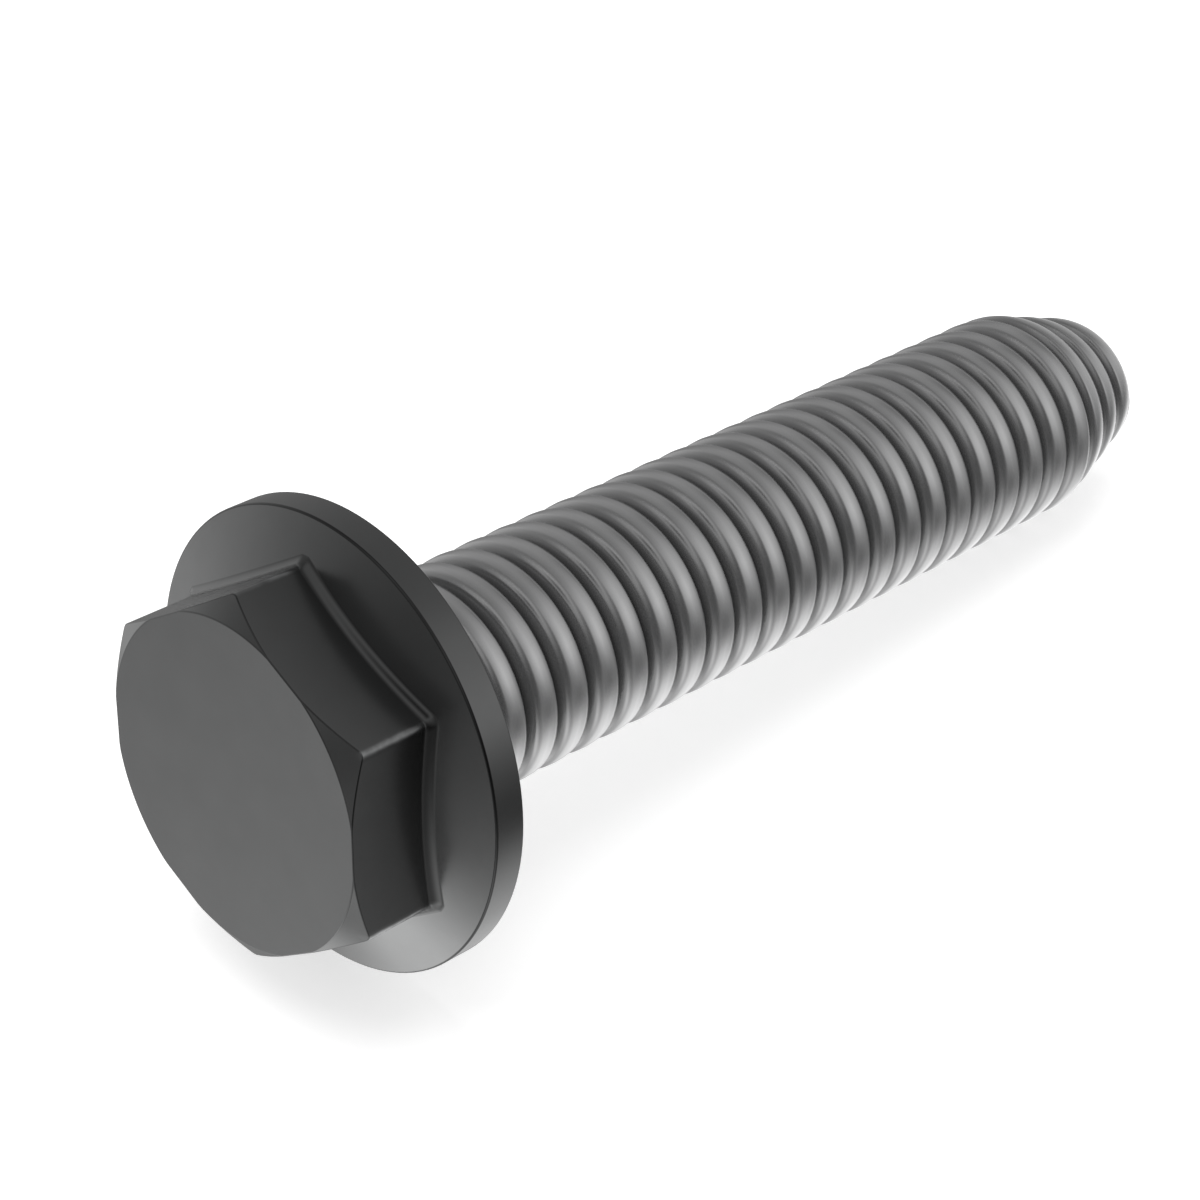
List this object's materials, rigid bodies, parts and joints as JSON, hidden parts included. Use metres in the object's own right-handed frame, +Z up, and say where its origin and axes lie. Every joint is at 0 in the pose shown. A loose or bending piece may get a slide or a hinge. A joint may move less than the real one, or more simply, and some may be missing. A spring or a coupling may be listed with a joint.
{
  "type": "hex flange self-tapping screw",
  "caption": "Steel screw that forms its own thread: chamfered hexagon head on a round flange, thread along the whole shank, tapered lead with a flat tip. It lies on its side.",
  "frame": {"origin": "centre of the bearing face under the flange, on the screw's axis", "axes": "+X along the ground from the head to the tip, +Z up. The screw lies on the rim of its flange and on its thread, so its axis dips towards the tip by 6.88 degrees from +X in the XZ plane."},
  "size_m": [0.0437, 0.016, 0.0161],
  "materials": {
    "dark_steel": "satin dark grey coating on steel, smooth forged head and rolled thread"
  },
  "bodies": {
    "root": {"screw": "dark_steel"}
  },
  "joints": []
}
